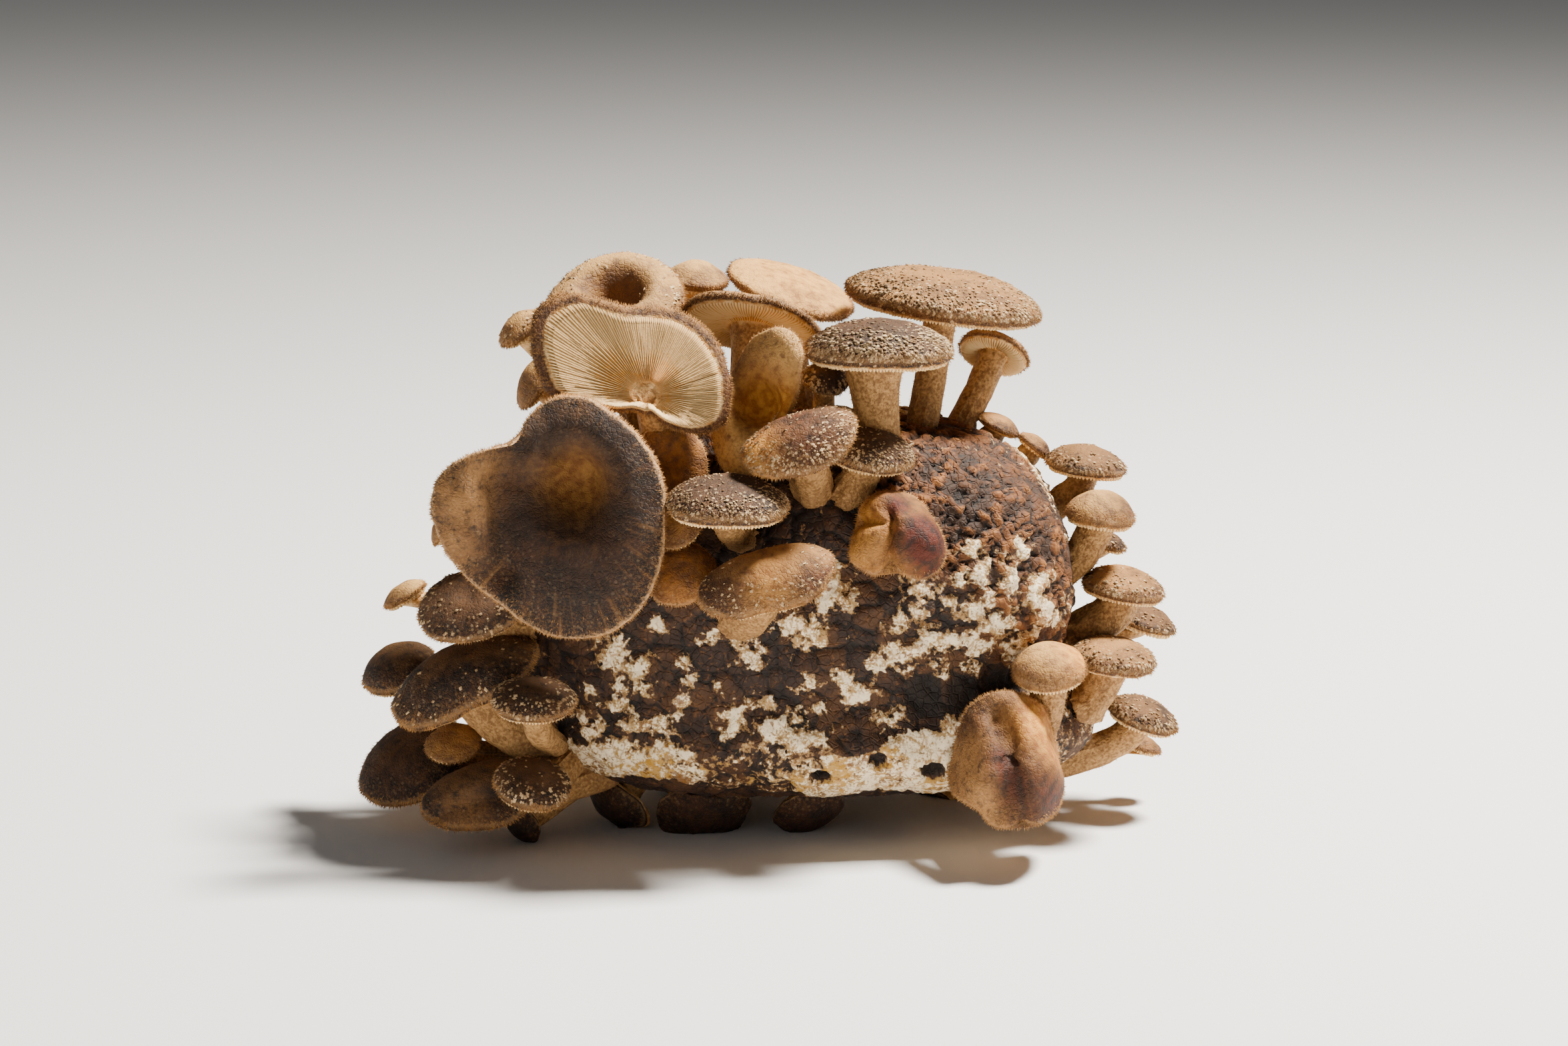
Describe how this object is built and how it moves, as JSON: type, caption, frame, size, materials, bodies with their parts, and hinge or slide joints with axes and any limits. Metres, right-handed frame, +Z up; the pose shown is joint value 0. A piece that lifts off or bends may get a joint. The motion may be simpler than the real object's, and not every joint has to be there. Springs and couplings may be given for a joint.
{
  "type": "shiitake log",
  "caption": "Compact sawdust fruiting block crusted with bark-brown skin and white mycelium, covered in shiitake mushrooms of many sizes on every side.",
  "frame": {"origin": "middle of the bounding box's base, level with the surface it stands on", "axes": "+X to the right along the log, +Y towards the back of the log, +Z up"},
  "size_m": [0.3084, 0.193, 0.2141],
  "materials": {
    "log_crust": "rough",
    "stem": "matt, fibrous",
    "cap_dark": "matt, scaly",
    "cap_brown": "matt, scaly",
    "cap_tan": "matt, felted",
    "cap_amber": "satin"
  },
  "bodies": {
    "root": {"log": "log_crust", "crown_gill_fan": "cap_brown", "front_dish": "cap_dark", "front_funnel": "cap_tan", "front_amber_oval": "cap_amber", "front_roof": "cap_brown", "front_shoulder": "cap_dark", "front_scaly_cap": "cap_dark", "front_scaly_stem": "stem", "front_pale_bud": "cap_tan", "front_amber_low": "cap_amber", "front_saddle": "cap_brown", "front_knob": "cap_amber", "crown_parasol_cap": "cap_tan", "crown_parasol_stem": "stem", "crown_scaly_cap": "cap_dark", "crown_scaly_stem": "stem", "crown_hollow_dish": "cap_tan", "crown_gill_wave": "cap_brown", "crown_flat": "cap_tan", "crown_small": "cap_tan", "crown_plum": "cap_dark", "crown_trumpet": "cap_brown", "crown_left_bud": "cap_tan", "crown_left_ear": "cap_tan", "crown_ridge_bud": "cap_brown", "crown_ridge_button": "cap_brown", "right_first_cap": "cap_dark", "right_first_stem": "stem", "right_second": "cap_tan", "right_third": "cap_dark", "right_fourth_cap": "cap_brown", "right_fourth_stem": "stem", "right_fifth": "cap_dark", "right_sixth": "cap_brown", "right_seventh": "cap_tan", "right_eighth": "cap_dark", "right_ninth": "cap_brown", "right_mitten": "cap_brown", "left_sliver": "cap_tan", "left_brim": "cap_dark", "left_far_bud": "cap_tan", "left_dome": "cap_dark", "left_folded": "cap_brown", "left_pebble": "cap_dark", "left_slab": "cap_brown", "left_amber_edge": "cap_amber", "left_low_fold": "cap_brown", "left_low_dark": "cap_dark", "under_left": "cap_dark", "under_front_left": "cap_dark", "under_middle": "cap_dark", "under_front_right": "cap_dark", "under_back_left": "cap_dark", "under_back_right": "cap_dark", "back_high": "cap_brown", "back_middle": "cap_tan", "back_left": "cap_tan", "back_right": "cap_brown", "back_low": "cap_dark"}
  },
  "joints": []
}
